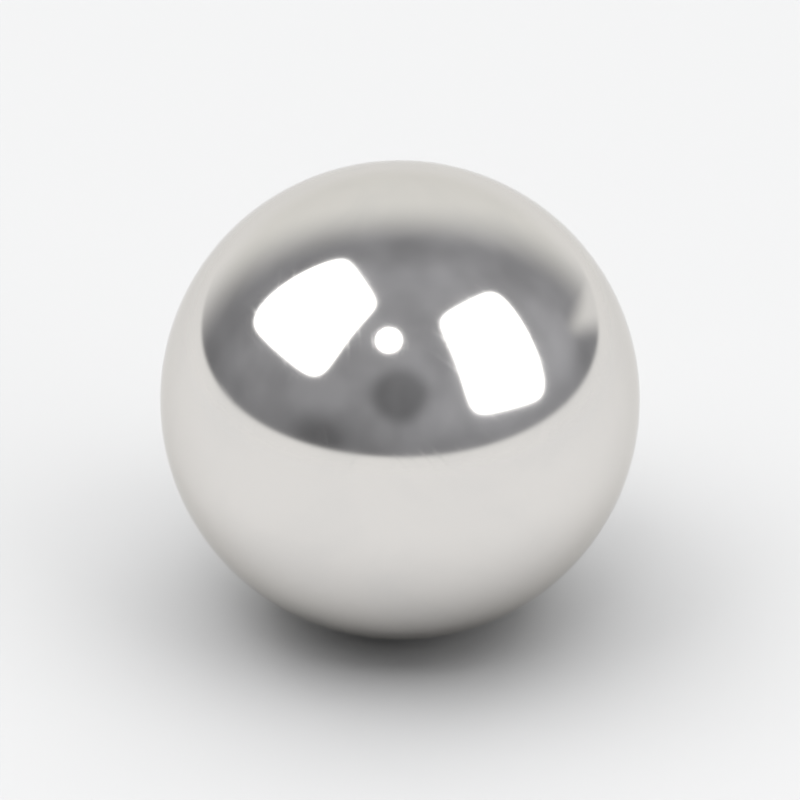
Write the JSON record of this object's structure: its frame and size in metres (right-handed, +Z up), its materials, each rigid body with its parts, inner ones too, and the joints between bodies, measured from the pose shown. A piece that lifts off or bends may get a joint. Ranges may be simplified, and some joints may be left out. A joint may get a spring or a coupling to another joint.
{
  "type": "steel ball",
  "caption": "Polished solid steel ball for rolling in a race, cup or track, or for use as a loose weight.",
  "frame": {"origin": "centre of the ball", "axes": "+Z up, away from the race or cup that carries the ball; every axis through the centre is the same"},
  "size_m": [0.012, 0.012, 0.012],
  "materials": {
    "ball_steel": "polished"
  },
  "bodies": {
    "root": {"ball": "ball_steel"}
  },
  "joints": []
}
